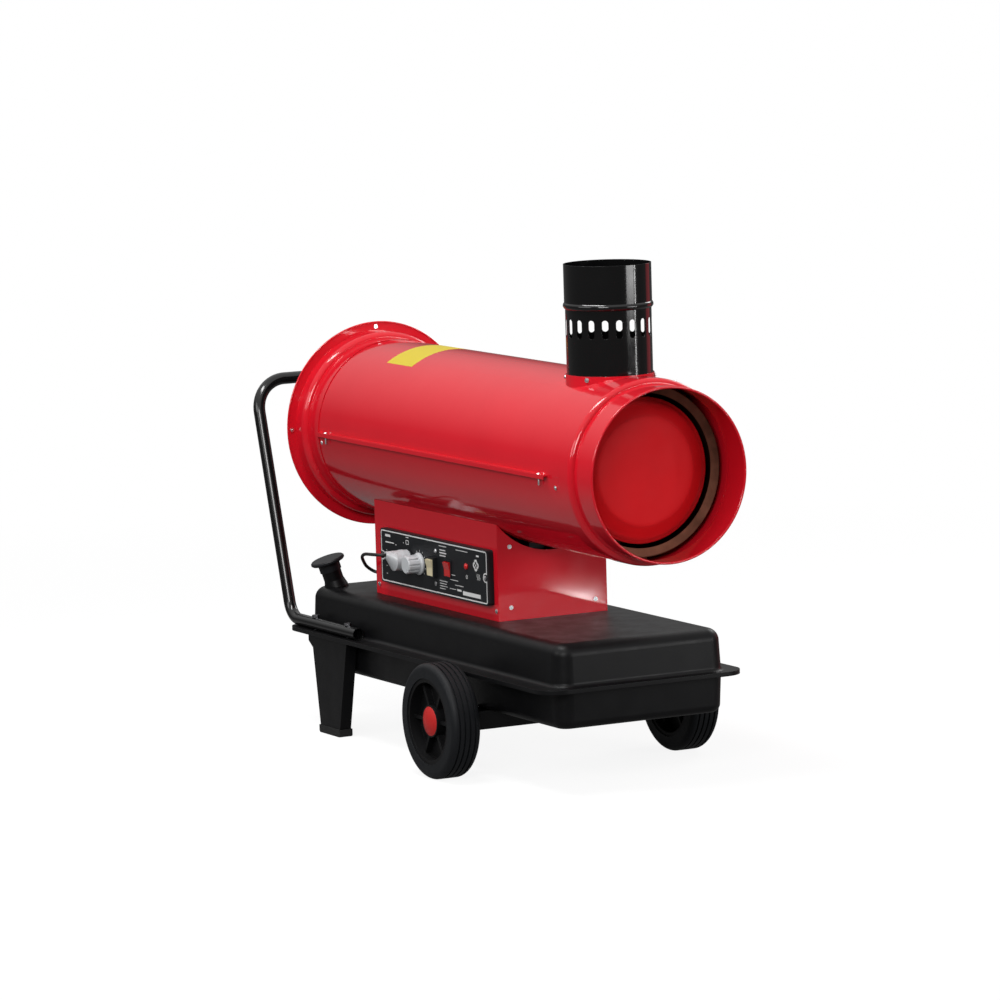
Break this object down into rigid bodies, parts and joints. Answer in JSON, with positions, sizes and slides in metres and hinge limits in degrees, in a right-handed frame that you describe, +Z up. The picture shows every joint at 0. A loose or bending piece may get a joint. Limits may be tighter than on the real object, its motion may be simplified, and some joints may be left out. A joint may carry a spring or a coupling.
{
  "type": "indirect diesel heater",
  "caption": "Portable indirect-fired space heater: round casing with flue and fan above a wheeled fuel tank with a control box, legs and a push handle.",
  "frame": {"origin": "floor level under the middle of the bounding box", "axes": "+X towards the hot-air outlet, -Y towards the side with the controls, +Z up"},
  "size_m": [1.232, 0.53, 0.89],
  "materials": {
    "red_paint": "gloss",
    "tank_paint": "satin",
    "handle_paint": "gloss",
    "flue_paint": "gloss",
    "guard_wire": "satin",
    "screw_steel": "satin",
    "dark_steel": "satin",
    "heat_steel": "matt",
    "cover_paint": "satin",
    "cast_aluminium": "cast",
    "brass_parts": "satin",
    "panel_plastic": "satin",
    "hub_plastic": "matt",
    "grey_plastic": "satin",
    "cream_plastic": "gloss",
    "red_plastic": "gloss",
    "tyre_rubber": "matt",
    "black_rubber": "matt"
  },
  "bodies": {
    "chassis": {"upper_casing": "red_paint", "lower_casing": "red_paint", "intake_ring": "red_paint", "rear_guard": "guard_wire", "outlet_collar": "red_paint", "pan_screws": "screw_steel", "hex_bolts": "dark_steel", "inner_liner": "heat_steel", "heat_exchanger": "heat_steel", "exchanger_cap": "cover_paint", "combustion_chamber": "heat_steel", "flue_stub": "heat_steel", "flue_fitting": "flue_paint", "motor": "cast_aluminium", "motor_bracket": "dark_steel", "burner_housing": "cast_aluminium", "blast_tube": "heat_steel", "flame_head": "brass_parts", "fuel_pump": "cast_aluminium", "solenoid_valve": "panel_plastic", "fuel_filter": "cast_aluminium", "fuel_lines": "brass_parts", "fan_thermostat": "panel_plastic", "ignition_transformer": "panel_plastic", "burner_control": "panel_plastic", "control_box": "red_paint", "front_plate": "red_paint", "control_panel": "panel_plastic", "thermostat_socket": "panel_plastic", "thermostat_plug": "grey_plastic", "jumper_lead": "black_rubber", "cable_glands": "panel_plastic", "knob_switch": "panel_plastic", "rocker_frames": "panel_plastic", "pilot_lamp": "red_plastic", "tank_upper": "tank_paint", "tank_lower": "tank_paint", "filler_neck": "tank_paint", "filler_strainer": "screw_steel", "drain_plug": "dark_steel", "left_leg": "tank_paint", "right_leg": "tank_paint", "foot_pads": "black_rubber", "handle": "handle_paint", "axle": "dark_steel", "axle_clips": "screw_steel"},
    "rotor": {"axial_fan": "cast_aluminium", "motor_shaft": "screw_steel", "burner_impeller": "cast_aluminium"},
    "knob": {"thermostat_knob": "grey_plastic"},
    "cream_switch": {"cream_rocker": "cream_plastic"},
    "red_switch": {"red_rocker": "red_plastic"},
    "cap": {"fuel_cap": "panel_plastic"},
    "left_wheel": {"left_tyre": "tyre_rubber", "left_hub": "hub_plastic", "left_hub_cap": "red_plastic"},
    "right_wheel": {"right_tyre": "tyre_rubber", "right_hub": "hub_plastic", "right_hub_cap": "red_plastic"}
  },
  "joints": [
    {"name": "rotor_spin", "type": "hinge", "parent": "chassis", "child": "rotor", "pos_m": [-0.3, 0, 0.544], "axis": [1, 0, 0], "continuous": true},
    {"name": "knob_turn", "type": "hinge", "parent": "chassis", "child": "knob", "pos_m": [-0.075, -0.1213, 0.33275], "axis": [0, -1, 0], "range_deg": [-135, 135]},
    {"name": "cream_rocker_tilt", "type": "hinge", "parent": "chassis", "child": "cream_switch", "pos_m": [-0.021, -0.126, 0.33275], "axis": [-1, 0, 0], "range_deg": [0, 16]},
    {"name": "red_rocker_tilt", "type": "hinge", "parent": "chassis", "child": "red_switch", "pos_m": [0.032, -0.119, 0.33475], "axis": [-1, 0, 0], "range_deg": [0, 16]},
    {"name": "cap_lift", "type": "slide", "parent": "chassis", "child": "cap", "axis": [-0.0501, -0.2924, 0.955], "range_m": [0, 0.06]},
    {"name": "left_wheel_spin", "type": "hinge", "parent": "chassis", "child": "left_wheel", "pos_m": [0.214, 0.2375, 0.101], "axis": [0, 1, 0], "continuous": true},
    {"name": "right_wheel_spin", "type": "hinge", "parent": "chassis", "child": "right_wheel", "pos_m": [0.214, -0.2375, 0.101], "axis": [0, 1, 0], "continuous": true}
  ]
}
